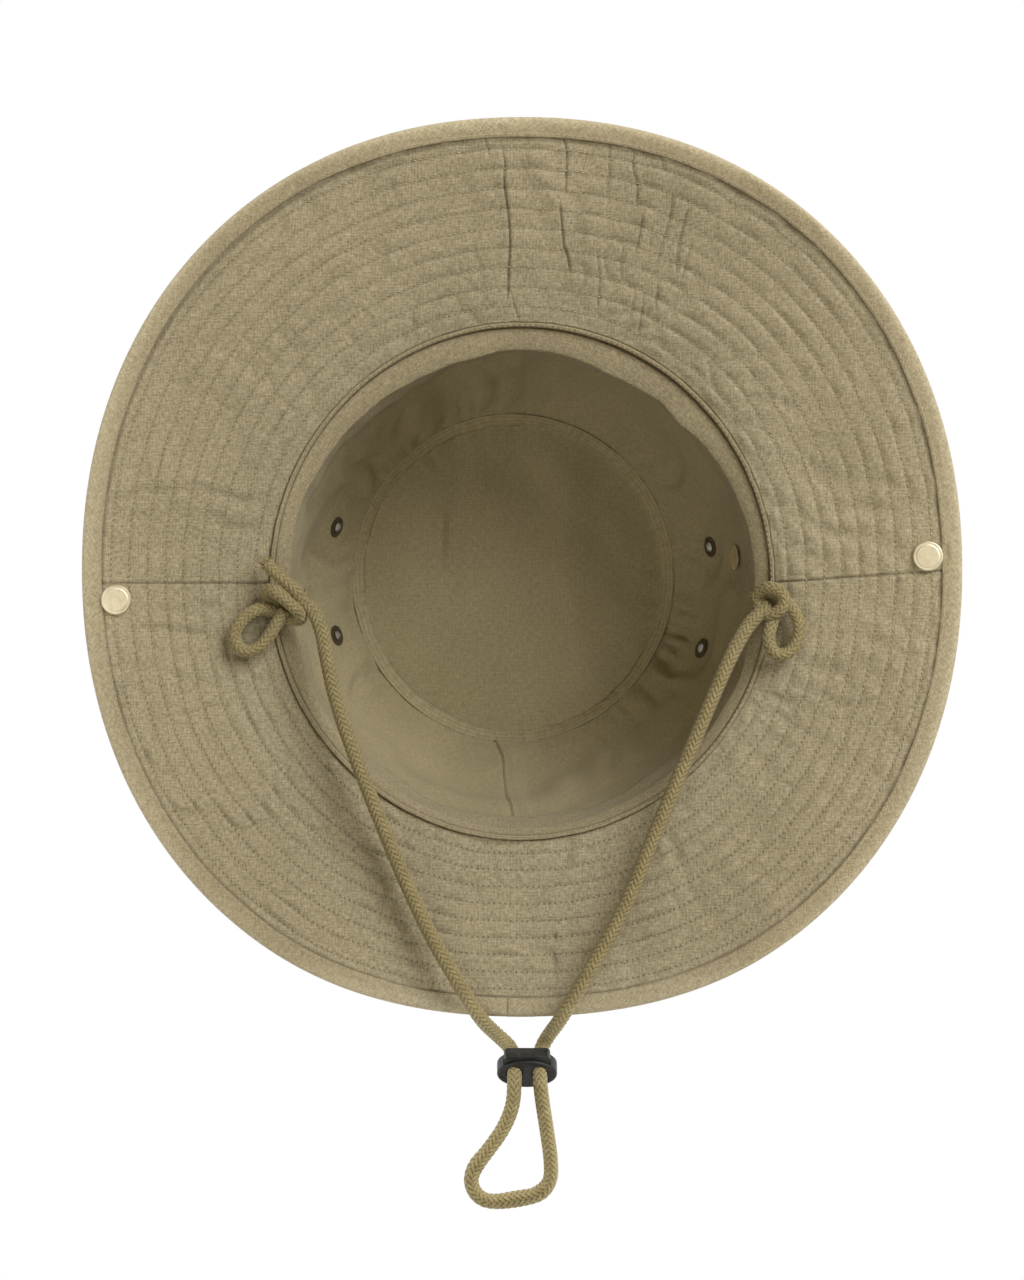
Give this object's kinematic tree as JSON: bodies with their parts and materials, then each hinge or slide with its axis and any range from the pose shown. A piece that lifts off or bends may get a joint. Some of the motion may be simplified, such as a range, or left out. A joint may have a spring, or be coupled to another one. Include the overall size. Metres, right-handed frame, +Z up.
{
  "type": "boonie_hat",
  "caption": "Khaki boonie hat with a stitched round brim, snap-up sides, eyelets, braided chin cord and cord lock",
  "frame": {"origin": "under the middle of the brim, on the surface the brim stands on", "axes": "+Z up through the crown, +Y to the back of the hat where the chin cord comes out, +X to the right"},
  "size_m": [0.3144, 0.3887, 0.1109],
  "materials": {
    "hat_cloth": "matt khaki cotton cloth",
    "binding_tape": "bias tape of the same khaki cloth",
    "sweatband_cloth": "khaki cotton band",
    "loop_webbing": "khaki woven band",
    "cord_braid": "round braided khaki cord",
    "lock_plastic": "black moulded plastic",
    "snap_brass": "satin antique brass",
    "eyelet_metal": "dark antique brass",
    "spring_steel": "bright spring wire"
  },
  "bodies": {
    "crown": {"crown_tip": "hat_cloth", "crown_side": "hat_cloth", "brim_upper_front": "hat_cloth", "brim_upper_back": "hat_cloth", "brim_lower_front": "hat_cloth", "brim_lower_back": "hat_cloth", "branch_loop_band": "loop_webbing", "sweatband": "sweatband_cloth", "binding_front": "binding_tape", "binding_back": "binding_tape", "left_snap_stud": "snap_brass", "left_snap_post": "snap_brass", "left_front_eyelet": "eyelet_metal", "left_front_eyelet_washer": "eyelet_metal", "left_back_eyelet": "eyelet_metal", "left_back_eyelet_washer": "eyelet_metal", "left_cord_anchor": "binding_tape", "left_knot": "cord_braid", "left_knot_bight": "cord_braid", "right_snap_stud": "snap_brass", "right_snap_post": "snap_brass", "right_front_eyelet": "eyelet_metal", "right_front_eyelet_washer": "eyelet_metal", "right_back_eyelet": "eyelet_metal", "right_back_eyelet_washer": "eyelet_metal", "right_cord_anchor": "binding_tape", "right_knot": "cord_braid", "right_knot_bight": "cord_braid", "left_knot_tail": "cord_braid", "chin_cord": "cord_braid"},
    "left_flap": {"left_brim_upper_front": "hat_cloth", "left_brim_upper_back": "hat_cloth", "left_brim_lower_front": "hat_cloth", "left_brim_lower_back": "hat_cloth", "left_binding": "binding_tape", "left_snap_cap": "snap_brass", "left_snap_socket": "snap_brass"},
    "right_flap": {"right_brim_upper_front": "hat_cloth", "right_brim_upper_back": "hat_cloth", "right_brim_lower_front": "hat_cloth", "right_brim_lower_back": "hat_cloth", "right_binding": "binding_tape", "right_snap_cap": "snap_brass", "right_snap_socket": "snap_brass"},
    "cord_lock": {"lock_barrel": "lock_plastic", "lock_spring": "spring_steel"},
    "plunger": {"lock_plunger": "lock_plastic"}
  },
  "joints": [
    {"name": "left_fold", "type": "hinge", "parent": "crown", "child": "left_flap", "pos_m": [-0.0958, 0, 0.01776], "axis": [0, 1, 0], "range_deg": [0, 110]},
    {"name": "right_fold", "type": "hinge", "parent": "crown", "child": "right_flap", "pos_m": [0.0958, 0, 0.01776], "axis": [0, -1, 0], "range_deg": [0, 110]},
    {"name": "lock_slide", "type": "slide", "parent": "crown", "child": "cord_lock", "axis": [0, 1, 0], "range_m": [-0.006, 0.012], "deforming": ["chin_cord"]},
    {"name": "plunger_press", "type": "slide", "parent": "cord_lock", "child": "plunger", "axis": [0, 0.866, 0.5], "range_m": [0, 0.0014], "stiffness_N_per_m": 300, "deforming": ["lock_spring"]}
  ]
}
